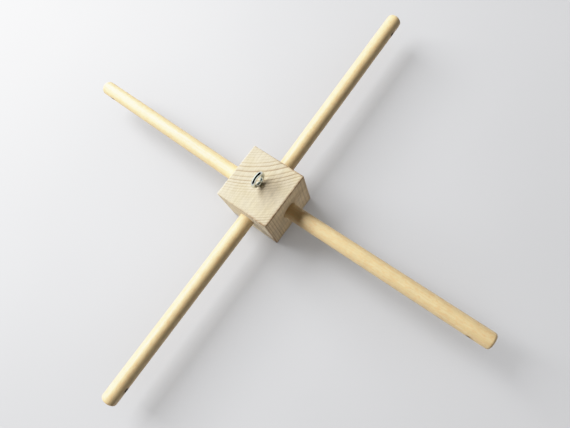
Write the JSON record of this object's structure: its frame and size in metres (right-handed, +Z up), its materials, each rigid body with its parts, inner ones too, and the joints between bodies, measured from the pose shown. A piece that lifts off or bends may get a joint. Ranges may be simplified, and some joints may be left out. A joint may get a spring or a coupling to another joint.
{
  "type": "drop spindle",
  "caption": "Cross-arm drop spindle: a wooden cube with round dowel arms plugged into its sides, a hole near each arm's tip, and a wire screw eye in its top for the yarn.",
  "frame": {"origin": "centre of the block's underside, on the surface that it rests on", "axes": "+Z up through the screw eye; +X and +Y square to the block's side faces, towards arm_right and arm_back"},
  "size_m": [0.3048, 0.3048, 0.0495],
  "materials": {
    "block_softwood": "bare planed pine, lightly sanded",
    "dowel_hardwood": "bare birch dowel, smooth",
    "plated_wire": "bright zinc plate"
  },
  "bodies": {
    "hub": {"hub_block": "block_softwood", "screw_eye": "plated_wire"},
    "arm_right": {"arm_right": "dowel_hardwood"},
    "arm_back": {"arm_back": "dowel_hardwood"},
    "arm_left": {"arm_left": "dowel_hardwood"},
    "arm_front": {"arm_front": "dowel_hardwood"}
  },
  "joints": [
    {"name": "arm_right_pull", "type": "slide", "parent": "hub", "child": "arm_right", "axis": [0.9999, 0.0122, 0], "range_m": [0, 0.025]},
    {"name": "arm_back_pull", "type": "slide", "parent": "hub", "child": "arm_back", "axis": [-0.0175, 0.9998, 0], "range_m": [0, 0.025]},
    {"name": "arm_left_pull", "type": "slide", "parent": "hub", "child": "arm_left", "axis": [-1, 0.0087, 0], "range_m": [0, 0.025]},
    {"name": "arm_front_pull", "type": "slide", "parent": "hub", "child": "arm_front", "axis": [0.0017, -1, 0], "range_m": [0, 0.025]}
  ]
}
